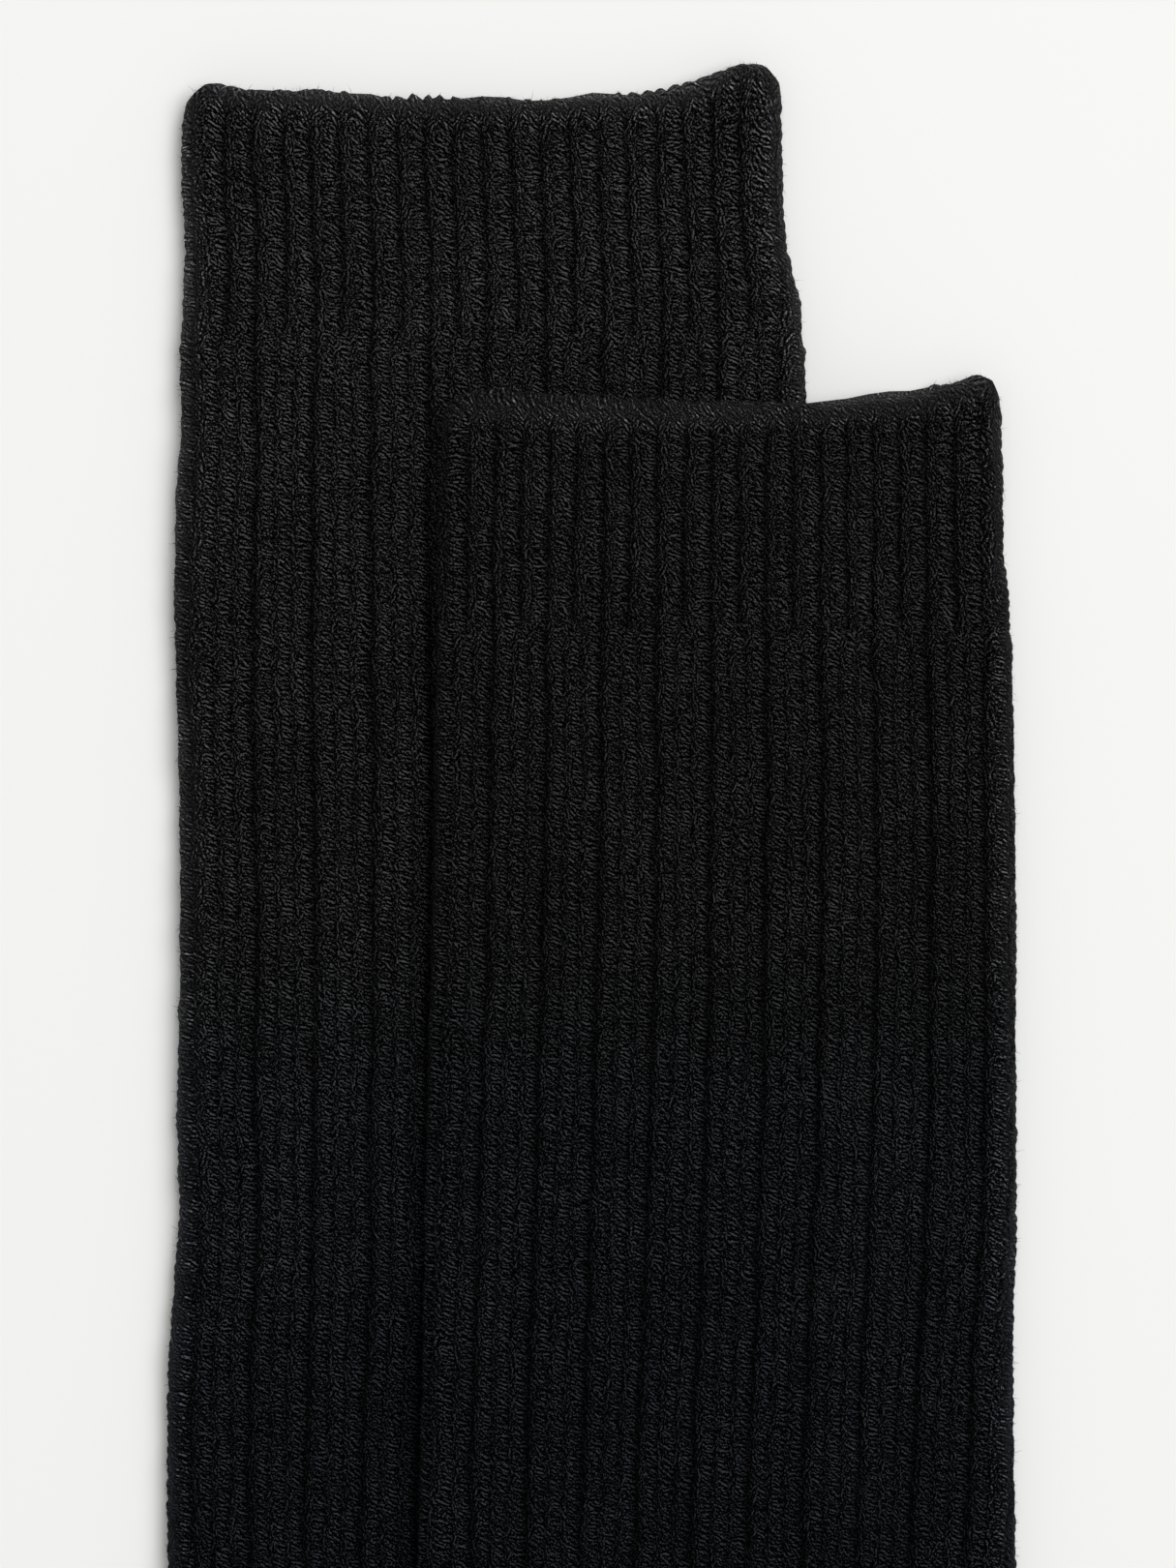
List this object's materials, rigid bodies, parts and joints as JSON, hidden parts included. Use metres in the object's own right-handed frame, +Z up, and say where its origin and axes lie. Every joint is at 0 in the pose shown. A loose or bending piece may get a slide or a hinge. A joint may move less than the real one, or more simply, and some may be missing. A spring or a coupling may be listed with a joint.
{
  "type": "pair of boot socks",
  "caption": "Black rib-knit boot socks laid flat, one partly on the other: close-ribbed cuff, wide-ribbed leg, plain heel, sole and toe.",
  "frame": {"origin": "middle of the pair's footprint, on the surface it lies on", "axes": "+Y runs along the legs towards the cuffs, +X from the toes' side towards the heels' side, +Z up from the surface"},
  "size_m": [0.2598, 0.4312, 0.0137],
  "materials": {
    "yarn": "thick soft spun yarn, dyed black, rib-knit and a little fuzzy"
  },
  "bodies": {
    "root": {"sock_under": "yarn", "sock_over": "yarn"}
  },
  "joints": []
}
